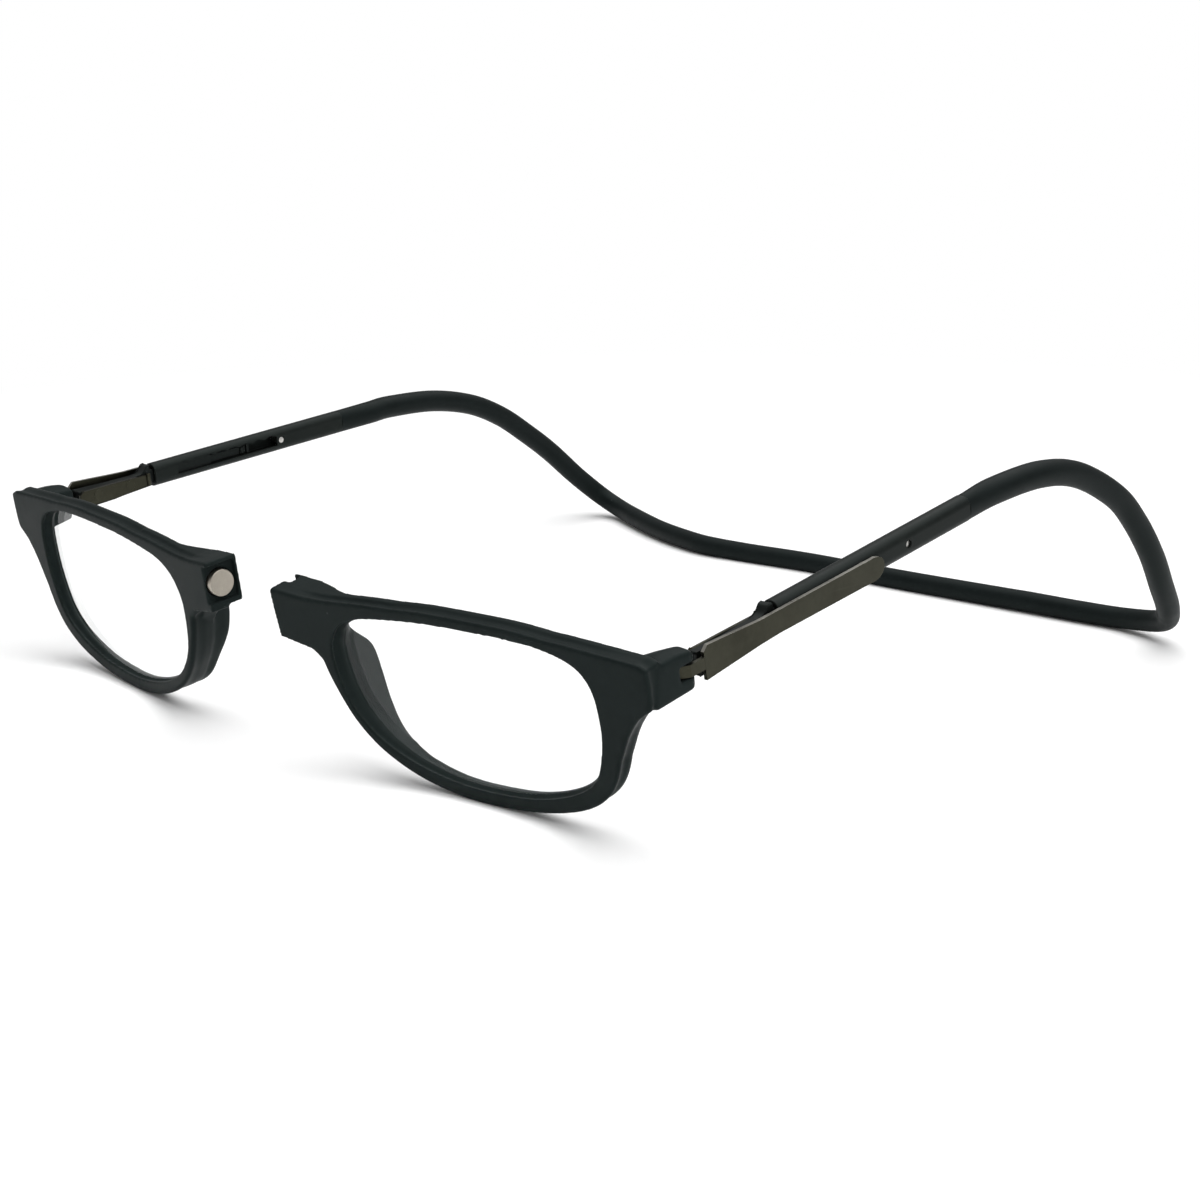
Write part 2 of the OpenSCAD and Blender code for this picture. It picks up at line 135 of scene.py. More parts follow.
def raise_faces(bm, depth):
    """Extrudes the flat shape drawn so far along Z."""
    out = bmesh.ops.extrude_face_region(bm, geom=bm.faces[:])
    raised = [v for v in out["geom"] if isinstance(v, bmesh.types.BMVert)]
    bmesh.ops.translate(bm, vec=(0, 0, depth), verts=raised)
    return settle_faces(bm)


def slab(points, depth, place):
    """Extrudes an outline drawn in X and Y along Z, then puts it in its place."""
    bm = bmesh.new()
    bm.faces.new([bm.verts.new((x, y, 0)) for x, y in points])
    raise_faces(bm, depth)
    bm.transform(place)
    return bm


def soften(bm, width, segments, above):
    """Rounds the edges that turn by more than the given angle."""
    edges = [e for e in bm.edges if e.is_manifold and e.calc_face_angle(0) > math.radians(above)]
    bmesh.ops.bevel(bm, geom=edges, offset=width, offset_type="OFFSET", affect="EDGES", segments=segments,
                    profile=0.5, material=-1, clamp_overlap=True)
    return bm


def block(size, middle, place=Matrix()):
    bm = bmesh.new()
    bmesh.ops.create_cube(bm, size=1, matrix=place @ move(*middle) @ Matrix.Diagonal((*size, 1)))
    return bm


def disc(radius, depth, place, edge=0, segments=64):
    """A round bar along its place's Z, from zero to its depth."""
    bm = bmesh.new()
    bmesh.ops.create_circle(bm, cap_ends=True, radius=radius, segments=segments)
    raise_faces(bm, depth)
    if edge:
        soften(bm, edge, 3, 40)
    bm.transform(place)
    return bm


def joined(*parts):
    bm = bmesh.new()
    for part in parts:
        mesh = bpy.data.meshes.new("part")
        part.to_mesh(mesh)
        part.free()
        bm.from_mesh(mesh)
        bpy.data.meshes.remove(mesh)
    return bm


def bench(bm):
    """Turns a bmesh into a passing object that can carry modifiers."""
    bmesh.ops.recalc_face_normals(bm, faces=bm.faces)
    mesh = bpy.data.meshes.new("bench")
    bm.to_mesh(mesh)
    bm.free()
    obj = bpy.data.objects.new("bench", mesh)
    bpy.context.scene.collection.objects.link(obj)
    return obj


def taken_up(obj, extra=()):
    """The object's mesh with its modifiers applied, as a bmesh. The bench objects go."""
    result = bpy.data.meshes.new_from_object(obj.evaluated_get(bpy.context.evaluated_depsgraph_get()))
    bm = bmesh.new()
    bm.from_mesh(result)
    bpy.data.meshes.remove(result)
    for used in (obj, *extra):
        mesh = used.data
        bpy.data.objects.remove(used)
        bpy.data.meshes.remove(mesh)
    return bm


def fitted(bm, steps, solver="EXACT"):
    """Adds or takes away each tool in turn."""
    obj = bench(bm)
    tools = [bench(tool) for _, tool in steps]
    for (operation, _), tool in zip(steps, tools):
        step = obj.modifiers.new("fit", "BOOLEAN")
        step.operation = operation
        step.solver = solver
        step.object = tool
    return taken_up(obj, tools)


def cut(bm, *cutters, solver="EXACT"):
    return fitted(bm, [("DIFFERENCE", cutter) for cutter in cutters], solver)


def moulded(bm, voxel, passes):
    """Melts overlapping shells into one moulding with soft edges."""
    obj = bench(bm)
    step = obj.modifiers.new("melt", "REMESH")
    step.mode = "VOXEL"
    step.voxel_size = voxel
    bm = taken_up(obj)
    for _ in range(passes):
        bmesh.ops.smooth_vert(bm, verts=bm.verts, factor=0.5,
                              use_axis_x=True, use_axis_y=True, use_axis_z=True)
    return bm


def add_piece(name, bm, place, material, nodes, crisp=None, edge=None):
    bm.transform(place)
    if place.determinant() < 0:
        bmesh.ops.reverse_faces(bm, faces=bm.faces)
    for face in bm.faces:
        face.smooth = True
    mesh = bpy.data.meshes.new(name)
    bm.to_mesh(mesh)
    bm.free()
    mesh.materials.append(material)
    if edge:
        mesh.materials.append(edge)
    obj = bpy.data.objects.new(name, mesh)
    bpy.context.scene.collection.objects.link(obj)
    if crisp:
        mesh.set_sharp_from_angle(angle=math.radians(crisp))
        step = obj.modifiers.new("flat faces", "WEIGHTED_NORMAL")
        step.keep_sharp = True
    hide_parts(*nodes)
    return obj


# Shader work

def group_nodes(name, inputs, outputs):
    tree = bpy.data.node_groups.new(name, "ShaderNodeTree")
    for label, kind, value in inputs:
        socket = tree.interface.new_socket(name=label, in_out="INPUT", socket_type=kind)
        socket.default_value = value
    for label, kind in outputs:
        tree.interface.new_socket(name=label, in_out="OUTPUT", socket_type=kind)
    return tree, tree.nodes.new("NodeGroupInput"), tree.nodes.new("NodeGroupOutput")


def wire(tree, *pairs):
    for out, into in pairs:
        tree.links.new(out, into)


def number(tree, operation, a, b=None, clamp=False):
    node = tree.nodes.new("ShaderNodeMath")
    node.operation = operation
    node.use_clamp = clamp
    for socket, value in zip(node.inputs, (a, b)):
        if value is None:
            continue
        if isinstance(value, (int, float)):
            socket.default_value = value
        else:
            tree.links.new(value, socket)
    return node.outputs[0]


def noise(tree, vector, scale, detail, rough=0.5):
    node = tree.nodes.new("ShaderNodeTexNoise")
    node.inputs["Detail"].default_value = detail
    node.inputs["Roughness"].default_value = rough
    tree.links.new(vector, node.inputs["Vector"])
    if isinstance(scale, (int, float)):
        node.inputs["Scale"].default_value = scale
    else:
        tree.links.new(scale, node.inputs["Scale"])
    return node.outputs["Fac"]


def spread(tree, value, low, high, to_low=0.0, to_high=1.0):
    node = tree.nodes.new("ShaderNodeMapRange")
    node.inputs["From Min"].default_value = low
    node.inputs["From Max"].default_value = high
    for label, given in (("To Min", to_low), ("To Max", to_high)):
        if isinstance(given, (int, float)):
            node.inputs[label].default_value = given
        else:
            tree.links.new(given, node.inputs[label])
    tree.links.new(value, node.inputs["Value"])
    return node.outputs["Result"]


def build_mould_grain():
    """Fine tooth of a matt moulding with a few pinpoint flecks of dust."""
    tree, given, made = group_nodes(
        "mould grain", [("Vector", "NodeSocketVector", (0, 0, 0)), ("Scale", "NodeSocketFloat", 9000.0)],
        [("Height", "NodeSocketFloat"), ("Fleck", "NodeSocketFloat")])
    fine = noise(tree, given.outputs["Vector"], given.outputs["Scale"], 3, 0.6)
    broad = noise(tree, given.outputs["Vector"], number(tree, "MULTIPLY", given.outputs["Scale"], 0.16),
                  2, 0.5)
    height = number(tree, "ADD", fine, number(tree, "MULTIPLY", broad, 0.6))
    dots = tree.nodes.new("ShaderNodeTexVoronoi")
    wire(tree, (given.outputs["Vector"], dots.inputs["Vector"]),
         (number(tree, "MULTIPLY", given.outputs["Scale"], 0.05), dots.inputs["Scale"]))
    near = spread(tree, dots.outputs["Distance"], 0.05, 0.09, 1.0, 0.0)
    rare = spread(tree, noise(tree, given.outputs["Vector"], 160, 1), 0.56, 0.62)
    wire(tree, (height, made.inputs["Height"]), (number(tree, "MULTIPLY", near, rare), made.inputs["Fleck"]))
    return tree


def build_handling():
    """Soft patches left by fingers and wiping, between a low and a high value."""
    tree, given, made = group_nodes(
        "handling", [("Vector", "NodeSocketVector", (0, 0, 0)), ("Scale", "NodeSocketFloat", 90.0),
                     ("Low", "NodeSocketFloat", 0.35), ("High", "NodeSocketFloat", 0.5)],
        [("Value", "NodeSocketFloat"), ("Patch", "NodeSocketFloat")])
    large = noise(tree, given.outputs["Vector"], given.outputs["Scale"], 4, 0.55)
    small = noise(tree, given.outputs["Vector"], number(tree, "MULTIPLY", given.outputs["Scale"], 7.0),
                  3, 0.6)
    mixed = number(tree, "ADD", number(tree, "MULTIPLY", large, 0.7), number(tree, "MULTIPLY", small, 0.3))
    patch = spread(tree, mixed, 0.36, 0.64)
    wire(tree, (patch, made.inputs["Patch"]),
         (spread(tree, patch, 0, 1, given.outputs["Low"], given.outputs["High"]), made.inputs["Value"]))
    return tree


def build_hairlines():
    """Thin scratches along the mapped X direction."""
    tree, given, made = group_nodes(
        "hairlines", [("Vector", "NodeSocketVector", (0, 0, 0)), ("Scale", "NodeSocketFloat", 2500.0),
                      ("Stretch", "NodeSocketFloat", 0.03)],
        [("Line", "NodeSocketFloat"), ("Height", "NodeSocketFloat")])
    apart = tree.nodes.new("ShaderNodeSeparateXYZ")
    again = tree.nodes.new("ShaderNodeCombineXYZ")
    wire(tree, (given.outputs["Vector"], apart.inputs[0]),
         (number(tree, "MULTIPLY", apart.outputs["X"], given.outputs["Stretch"]), again.inputs["X"]),
         (apart.outputs["Y"], again.inputs["Y"]), (apart.outputs["Z"], again.inputs["Z"]))
    grain = noise(tree, again.outputs[0], given.outputs["Scale"], 4, 0.65)
    wire(tree, (spread(tree, grain, 0.58, 0.72), made.inputs["Line"]), (grain, made.inputs["Height"]))
    return tree


mould_grain = build_mould_grain()
handling = build_handling()
hairlines = build_hairlines()


def new_material(name, metallic=0.0, specular=0.5):
    mat = bpy.data.materials.new(name)
    mat.use_nodes = True
    tree = mat.node_tree
    shader = tree.nodes["Principled BSDF"]
    shader.inputs["Metallic"].default_value = metallic
    shader.inputs["Specular IOR Level"].default_value = specular
    where = tree.nodes.new("ShaderNodeTexCoord").outputs["Object"]
    return mat, tree, shader, where


def place_group(tree, group, vector, **values):
    node = tree.nodes.new("ShaderNodeGroup")
    node.node_tree = group
    tree.links.new(vector, node.inputs["Vector"])
    for label, value in values.items():
        node.inputs[label].default_value = value
    return node.outputs


def colour_mix(tree, factor, low, high):
    node = tree.nodes.new("ShaderNodeMix")
    node.data_type = "RGBA"
    tree.links.new(factor, node.inputs["Factor"])
    for socket, value in ((node.inputs["A"], low), (node.inputs["B"], high)):
        if isinstance(value, tuple):
            socket.default_value = (*value, 1)
        else:
            tree.links.new(value, socket)
    return node.outputs["Result"]


def raise_bump(tree, shader, height, strength, distance):
    node = tree.nodes.new("ShaderNodeBump")
    node.inputs["Strength"].default_value = strength
    node.inputs["Distance"].default_value = distance
    wire(tree, (height, node.inputs["Height"]), (node.outputs["Normal"], shader.inputs["Normal"]))


DUST = (0.12, 0.13, 0.13)
GREENISH = (0.8, 1.0, 0.97, 1)


def moulding_material(name, dark, light, low, high, specular, grain=9000.0, bump=0.12):
    """Matt black plastic or rubber: mottled tone, wiped patches, fine tooth and dust."""
    mat, tree, shader, where = new_material(name, specular=specular)
    shader.inputs["Specular Tint"].default_value = GREENISH
    tooth = place_group(tree, mould_grain, where, Scale=grain)
    wiped = place_group(tree, handling, where, Scale=95.0, Low=low, High=high)
    tone = colour_mix(tree, wiped["Patch"], dark, light)
    dusty = colour_mix(tree, number(tree, "MULTIPLY", tooth["Fleck"], 0.2), tone, DUST)
    wire(tree, (dusty, shader.inputs["Base Color"]), (wiped["Value"], shader.inputs["Roughness"]))
    raise_bump(tree, shader, tooth["Height"], bump, 0.00004)
    return mat


def metal_material(name, dark, light, low, high, lines, direction, bump=0.1):
    """Worn metal with fine lines along one direction."""
    mat, tree, shader, where = new_material(name, metallic=1.0)
    mapping = tree.nodes.new("ShaderNodeMapping")
    mapping.inputs["Rotation"].default_value = direction
    wire(tree, (where, mapping.inputs["Vector"]))
    scored = place_group(tree, hairlines, mapping.outputs[0], Scale=lines)
    wiped = place_group(tree, handling, where, Scale=130.0, Low=low, High=high)
    tone = colour_mix(tree, wiped["Patch"], dark, light)
    bright = tuple(min(1, c * 1.5) for c in light)
    worn = colour_mix(tree, number(tree, "MULTIPLY", scored["Line"], 0.35), tone, bright)
    wire(tree, (worn, shader.inputs["Base Color"]), (wiped["Value"], shader.inputs["Roughness"]))
    raise_bump(tree, shader, scored["Height"], bump, 0.00003)
    return mat


front_black = moulding_material(
    "front black", (0.0086, 0.0122, 0.0119), (0.0120, 0.0163, 0.0160), 0.36, 0.46, 0.045)
rail_black = moulding_material(
    "rail black", (0.0055, 0.0065, 0.0062), (0.0090, 0.0100, 0.0094), 0.34, 0.46, 0.12)
sleeve_black = moulding_material(
    "sleeve black", (0.0070, 0.0085, 0.0080), (0.0105, 0.0120, 0.0110), 0.36, 0.48, 0.10)
band_rubber = moulding_material(
    "band rubber", (0.0045, 0.0062, 0.0062), (0.0066, 0.0088, 0.0088), 0.42, 0.55, 0.09, 7000.0, 0.2)
ALONG_ARM = (0, 0, math.radians(90))
plate_bronze = metal_material(
    "plate bronze", (0.031, 0.0305, 0.0215), (0.045, 0.0445, 0.032), 0.28, 0.4, 2600.0, ALONG_ARM)
# Paler bronze for the plate's upward-facing upper edge faces: a painted highlight.
painted_highlight_edge = metal_material(
    "painted highlight edge", (0.22, 0.21, 0.185), (0.31, 0.3, 0.27), 0.26, 0.36, 2600.0, ALONG_ARM)
magnet_nickel = metal_material(
    "magnet nickel", (0.34, 0.31, 0.265), (0.43, 0.395, 0.34), 0.3, 0.42, 1800.0,
    (0, math.radians(70), 0), 0.16)
pin_steel = metal_material(
    "pin steel", (0.42, 0.41, 0.39), (0.55, 0.54, 0.52), 0.25, 0.4, 3000.0, (0, 0, 0))


def lens_material():
    """Clear coated lens with the faintest wiped haze.

    The coating leaves little reflection, and shadow rays pass through.
    """
    mat, tree, shader, where = new_material("lens clear")
    shader.inputs["Base Color"].default_value = (0.985, 0.995, 0.992, 1)
    shader.inputs["Transmission Weight"].default_value = 1.0
    shader.inputs["IOR"].default_value = 1.2
    shader.inputs["Specular IOR Level"].default_value = 0.06
    wiped = place_group(tree, handling, where, Scale=60.0, Low=0.0, High=0.02)
    wire(tree, (wiped["Value"], shader.inputs["Roughness"]))
    path = tree.nodes.new("ShaderNodeLightPath")
    clear = tree.nodes.new("ShaderNodeBsdfTransparent")
    mix = tree.nodes.new("ShaderNodeMixShader")
    wire(tree, (path.outputs["Is Shadow Ray"], mix.inputs["Fac"]), (shader.outputs[0], mix.inputs[1]),
         (clear.outputs[0], mix.inputs[2]), (mix.outputs[0], tree.nodes["Material Output"].inputs["Surface"]))
    return mat


lens_clear = lens_material()


# The half front, drawn with u outwards, n back and w up.
# Rim points: across and up the opening in hundredths, the bar's width, the nose wing's share and
# the reach of the wing's back edge
OPENING_W, OPENING_H, OPENING_U, RIM_LOW = 50.7, 26.6, 11.7, 2.4
RIM_DEPTH, WING_DEPTH, BRIDGE_DEPTH = 3.4, 8.8, 5.8
RIDGE, ROLL, WING_T, WING_FULL = 0.42, 0.42, 1.2, 0.3
CREASE, WING_CREASE = 3.12, 1.45
LEAST_SQUARE = 0.42
MOULD_VOXEL, MOULD_PASSES = 0.2, 4
rim_points = [
    (12, 92, 2.25, 0, 0.25), (4.5, 84.5, 2.45, 0.08, 0.35), (0.6, 73, 2.7, 0.45, 0.9),
    (0, 60, 2.6, 0.88, -0.8), (2, 41, 1.7, 0.85, -1.1), (7, 26, 1.75, 0.62, -0.6), (15, 14, 2, 0.4, 0.7),
    (27, 5, 2.3, 0.1, 0.4), (42, 0, 2.4, 0, 0.25), (57, 0, 2.4, 0, 0.25), (72, 3.5, 2.45, 0, 0.25),
    (86, 12.5, 2.8, 0, 0.25), (94.5, 24.5, 3.05, 0, 0.25), (98.5, 42, 3.4, 0, 0.25), (100, 61, 3.5, 0, 0.25),
    (99, 80.5, 3.4, 0, 0.25), (94, 92.5, 2.7, 0, 0.25), (83, 98.5, 1.8, 0, 0.25), (70, 100, 1.8, 0, 0.25),
    (55, 99.8, 1.8, 0, 0.25), (39.5, 98.8, 1.9, 0, 0.25), (23.5, 95.8, 2, 0, 0.25)]


def opening_line(steps):
    """Points of the opening with the bar's width, the wing's share and reach, and the way outwards."""
    line = [(OPENING_U + u * OPENING_W / 100, RIM_LOW + w * OPENING_H / 100, bar, max(0, wing), reach)
            for u, w, bar, wing, reach in round_curve(rim_points, steps)]
    count = len(line)
    out = []
    for i, station in enumerate(line):
        along = Vector(line[(i + 1) % count][:2]) - Vector(line[i - 1][:2])
        out.append((*station, Vector((along.y, -along.x)).normalized()))
    return out


# Outlines of the bridge block and of the outer corner in the front's plane
bridge_line = [
    (-3, 29.5), (1, 29.45), (3.2, 29.3), (5.5, 29.1), (8, 29), (11.6, 29.12), (15, 29.4), (18.5, 29.72),
    (22, 29.95), (25.5, 30.1), (22, 28.9), (18.2, 28.4), (15.4, 27.3), (13.2, 25.7), (11.6, 23),
    (11.2, 19.4), (11.5, 14.8), (10.5, 16.7), (9.6, 17.9), (8.6, 19), (7.7, 19.8), (6.6, 20.6), (5.1, 21.3),
    (3, 21.7), (-3, 21.8)]
corner_line = [
    (54, 30.3), (57, 30.25), (60, 30.12), (63, 29.93), (66, 29.75), (70, 29.48), (72.2, 29.32), (72.45, 29),
    (72.55, 26.4), (72.4, 23.1), (72.05, 22.4), (71.3, 21.9), (70.4, 21.3), (69.5, 20.6), (68.7, 19.6),
    (67.9, 18.5), (67.1, 17.2), (66.3, 15.6), (65.5, 13.9), (64.8, 12.5), (63.6, 11), (62, 14), (60, 20),
    (57, 27)]


def crossing(start, way, outline):
    """Farthest crossing of a line with an outline, and how squarely it meets it."""
    best = (0, 1)
    for a, b in zip(outline, outline[1:] + outline[:1]):
        edge, gap = Vector(b) - Vector(a), Vector(a) - start
        across = way.x * edge.y - way.y * edge.x
        if abs(across) < 1e-9:
            continue
        far = (gap.x * edge.y - gap.y * edge.x) / across
        along = (gap.x * way.y - gap.y * way.x) / across
        if 0 <= along <= 1 and far > best[0]:
            best = (far, abs(across) / edge.length)
    return best


def wing_fade(wing):
    """How far a section is shaped as wing: 1 from the share WING_FULL on."""
    return min(1, wing / WING_FULL)


def bar_section(bar, wing, reach, far, slant, hollow):
    """Cut through the rim: ridge and channel outside, rolled wall inside, wing behind."""
    ridge = RIDGE + 0.2 * wing
    depth = RIM_DEPTH + wing * (WING_DEPTH - RIM_DEPTH)
    fade = wing_fade(wing)
    root = (1 - fade) * far + fade * bar
    outer = (1 - fade) * far + fade * (reach + WING_T)
    crease = CREASE + WING_CREASE * fade
    rest = depth - ROLL
    plate = smooth_step(0, 1, far - bar)

    def wing_wall(n, sunk):
        return root + (outer - root) * (n - ridge) / (rest - ridge) - sunk, n

    front = [(far - ridge * slant * (1 - math.sin(t)), ridge * (1 - math.cos(t)))
             for t in (0, math.radians(30), math.radians(60), math.radians(90))]
    channel = [((1 - plate) * wing_wall(ridge + n, 0)[0] + plate * far - sunk * slant * hollow, ridge + n)
               for n, sunk in ((0.2, 0.05), (0.4, 0.24), (0.75, 0.4), (1.25, 0.4), (1.65, 0.22),
                               (1.95, 0.03))]
    low = min(3.35, rest - 0.02)
    channel.append(((1 - plate) * wing_wall(low - 0.15, 0)[0] + plate * far, low - 0.15))
    swell = [wing_wall(low + share * (rest - low), sunk * wing) for share, sunk in
             ((0, 0.02), (0.2, 0.05), (0.4, 0.3), (0.6, 0.18), (0.8, 0.03))]
    behind = [(outer, rest), (outer - 0.06, depth - 0.2), (outer - 0.2, depth - 0.05), (outer - ROLL, depth),
              (reach + 0.3, depth), (reach + 0.08, depth - 0.1), (reach, depth - 0.32)]
    inner = [(0.1 + (reach - 0.1) * share, crease + 0.12 + (depth - 0.44 - crease) * share)
             for share in (0.75, 0.5, 0.25)]
    bead = [(0.12 - 0.46 * math.sin(math.pi * t), 0.72 + (crease - 0.78) * t)
            for t in (0.9, 0.76, 0.6, 0.45, 0.3, 0.15)]
    wall = [(0.2, crease + 0.02), (0.19, crease - 0.08), *bead,
            (0.24, 0.72), (0.3, 0.55), (0.2, 0.38), (0.06, 0.26), (0.06, 0.12), (0.2, 0.02), (0.34, 0)]
    if depth < 3.9:
        behind[-2:] = [(reach + 0.08, depth - 0.03), (reach, depth - 0.06)]
        inner = [(0.22, depth - 0.1), (0.21, depth - 0.16), (0.2, depth - 0.2)]
    return front + channel + swell + behind + inner + wall


def rim_shell():
    """The rim all round the opening, its outer edge carried to the bridge's and the corner's outlines."""
    rings = []
    for u, w, bar, wing, reach, out in opening_line(9):
        start = Vector((u, w))
        far, square = max(crossing(start, out, bridge_line), crossing(start, out, corner_line))
        far, slant = (far, 1 / max(LEAST_SQUARE, square)) if far > bar else (bar, 1)
        edge_u = u + out.x * far
        at_corner = smooth_step(62, 69, edge_u)
        hollow = smooth_step(2, 9, edge_u) * (1 - 0.55 * at_corner) * (1 - 0.75 * wing_fade(wing))
        rings.append([(u + out.x * d, n, w + out.y * d)
                      for d, n in bar_section(bar, wing, reach, far, slant, hollow)])
    bm = draw_through(rings, closed=True)
    bm.transform(front_place)
    return bm


# Drawing planes: face on for the front, side view (back and up) for the arms and the lip's notch
IN_FRONT = Matrix(((1, 0, 0, 0), (0, 0, 1, 0), (0, 1, 0, 0), (0, 0, 0, 1)))
ON_ARM = Matrix(((0, 0, 1, 0), (1, 0, 0, 0), (0, 1, 0, 0), (0, 0, 0, 1)))
BRIDGE_START = 2


def bridge_depth_at(u):
    return BRIDGE_DEPTH - (BRIDGE_DEPTH - RIM_DEPTH + 0.3) * smooth_step(5.5, 16.5, u)


def bridge_shell():
    """The bridge block behind the front face, thinner towards the rim."""
    bm = slab(bridge_line, BRIDGE_DEPTH - BRIDGE_START, IN_FRONT @ move(0, 0, BRIDGE_START))
    level = [e for e in bm.edges if e.calc_length() > 2 and abs(e.verts[0].co.y - e.verts[1].co.y) < 0.1]
    bmesh.ops.subdivide_edges(bm, edges=level, cuts=3, use_grid_fill=False)
    for v in bm.verts:
        if v.co.y > 3:
            v.co.y = bridge_depth_at(v.co.x)
    soften(bm, 0.3, 2, 40)
    bm.transform(front_place)
    return bm


# The clasp: where each closing face stands when shut, the magnets with their pockets, and the left recess
CLOSING_FACE = {"right": 0.05, "left": -0.05}
MAGNET_RADIUS, MAGNET_T = {"right": 1.89, "left": 2.19}, 2
MAGNET_START = {"right": 0.05, "left": -2.15}
POCKET_RADIUS = {"right": 1.95, "left": 2.25}
POCKET_DEPTH = {"right": 4.2, "left": 4.4}
RECESS_SIZE, RECESS_MIDDLE, RECESS_FLOOR = (14, 6.3, 6.1), (1, 2.15, 25.65), -1.05


def recess_tool():
    """The left clasp's recess, ended at its floor."""
    recess = block(RECESS_SIZE, RECESS_MIDDLE, half["left"] @ front_place)
    floor_at = closed_place["left"] @ Vector((RECESS_FLOOR, 0, 0))
    inwards = closed_place["left"].to_3x3() @ Vector((1, 0, 0))
    everything = recess.verts[:] + recess.edges[:] + recess.faces[:]
    part = bmesh.ops.bisect_plane(recess, geom=everything, dist=1e-5, plane_co=floor_at, plane_no=inwards,
                                  clear_inner=True)
    rim = [e for e in part["geom_cut"] if isinstance(e, bmesh.types.BMEdge)]
    bmesh.ops.edgeloop_fill(recess, edges=rim)
    return recess


def closing_tools(side):
    """Blocks and a drill that shape the closing face of one half."""
    mid, face, depth = magnet_middle(side), CLOSING_FACE[side], POCKET_DEPTH[side]
    beyond = block((20, 40, 50), (face + (-10 if side == "right" else 10), 0, 25), closed_place[side])
    drill = disc(POCKET_RADIUS[side], depth,
                 closed_place[side] @ (move(0, mid.y, mid.z) @ turn(90, "Y")) @ move(0, 0, face - depth / 2))
    return [beyond, drill] if side == "right" else [beyond, recess_tool(), drill]


def lip_notch():
    """Rounded notch across the top of the right clasp, in front of its rear lip."""
    return slab([(3.1, 29), (3.7, 28.5), (4.2, 28.2), (5.2, 28.5), (5.2, 32), (3.1, 32)], 6.4,
                front_place @ (move(-4, 0, 0) @ ON_ARM))


def lug_shell():
    """Crowned lug behind the front's outer corner, hulled back to its round rear edge."""
    bm = bmesh.new()
    for u, w in ((66.4, 28.2), (71.9, 28.1), (72.1, 22.7), (70.4, 21.6), (66.4, 21.6)):
        bm.verts.new(front_place @ Vector((u, 2.2, w)))
    for point in ((78.9, 7.9, 28.3), (78.9, 11.7, 28.8), (78.9, 14.8, 28.8), (78.9, 7.6, 22),
                  (78.9, 15.3, 23.2), (77.9, 16.1, 28.2), (77.9, 16.3, 23.2), (76.6, 10.3, 29.1),
                  (76.6, 12.5, 29.35), (76.6, 14.6, 29.2), (74.7, 12, 28.7), (74.7, 15.6, 28.4),
                  (74.7, 16.1, 23.2), (74.7, 8, 22)):
        bm.verts.new(point)
    hull = bmesh.ops.convex_hull(bm, input=bm.verts[:])
    bmesh.ops.delete(bm, geom=hull["geom_interior"], context="VERTS")
    bmesh.ops.dissolve_limit(bm, angle_limit=math.radians(3), verts=bm.verts[:], edges=bm.edges[:])
    settle_faces(bm)
    return soften(bm, 0.6, 3, 12)


# The hinge pin's place across, along and up the arm, and the tongue's height
PIN_X, PIN_S, PIN_H, TONGUE_H = -0.1, -20.3, -0.35, 1.8


def slot_tools():
    """Round end and length of the tongue's slot, and the bore for the hinge pin."""
    height = TONGUE_H + 0.4
    return [disc(1.8, height, arm_place @ move(PIN_X, PIN_S, PIN_H - height / 2)),
            block((6, 9, height), (PIN_X + 3, PIN_S - 0.8 + 4.5, PIN_H), arm_place),
            disc(0.68, 8.6, arm_place @ move(PIN_X, PIN_S, PIN_H - 6), segments=32)]


def on_half(bm, side):
    bm.transform(half[side])
    if side == "left":
        bmesh.ops.reverse_faces(bm, faces=bm.faces)
    return bm


def front_piece(side):
    bridge = bridge_shell()
    if side == "right":
        bridge = cut(bridge, lip_notch(), solver="FAST")
    shells = [cut(on_half(shell, side), *closing_tools(side)) for shell in (rim_shell(), bridge)]
    lug = on_half(cut(lug_shell(), *slot_tools()), side)
    return moulded(joined(*shells, lug), MOULD_VOXEL, MOULD_PASSES)


for side in SIDES:
    add_piece("front_moulding_" + side, front_piece(side), to_row, front_black,
              ("front_" + side,))


# Lenses, magnets and hinge pins
LENS_IN_RIM, LENS_BACK, LENS_T, LENS_RADIUS = 0.42, 0.47, 1.36, 300


def lens_piece():
    line = [Vector(station[:2]) + station[-1] * LENS_IN_RIM for station in opening_line(6)]
    middle = Vector((OPENING_U + OPENING_W / 2, RIM_LOW + OPENING_H / 2))

    def ring(share, back):
        made = []
        for p in line:
            q = middle + (p - middle) * share
            r = (q - middle).length
            made.append((q.x, LENS_BACK + back + LENS_RADIUS - math.sqrt(LENS_RADIUS ** 2 - r * r), q.y))
        return made

    shares = (0.04, 0.15, 0.3, 0.45, 0.6, 0.75, 0.88, 0.95, 0.98, 0.995, 1)
    return draw_through([ring(f, 0) for f in shares] + [ring(f, LENS_T) for f in shares[::-1]])


def magnet_piece(side):
    mid = magnet_middle(side)
    place = closed_place[side] @ move(MAGNET_START[side], mid.y, mid.z) @ turn(90, "Y")
    return disc(MAGNET_RADIUS[side], MAGNET_T, place, 0.16, 96)


def pin_piece(radius, length, place):
    return disc(radius, length, place, 0.12, 32)


across = turn(90, "Y")
for side in SIDES:
    place = to_row @ half[side]
    add_piece("lens_" + side + "_glass", lens_piece(), place @ front_place, lens_clear, ("lens_" + side,))
    add_piece("magnet_disc_" + side, magnet_piece(side), to_row, magnet_nickel, ("magnet_" + side,),
              50)
    add_piece("hinge_steel_" + side, pin_piece(0.64, 5.5, move(PIN_X, PIN_S, PIN_H - 3)), place @ arm_place,
              pin_steel, ("hinge_pin_" + side,), 50)


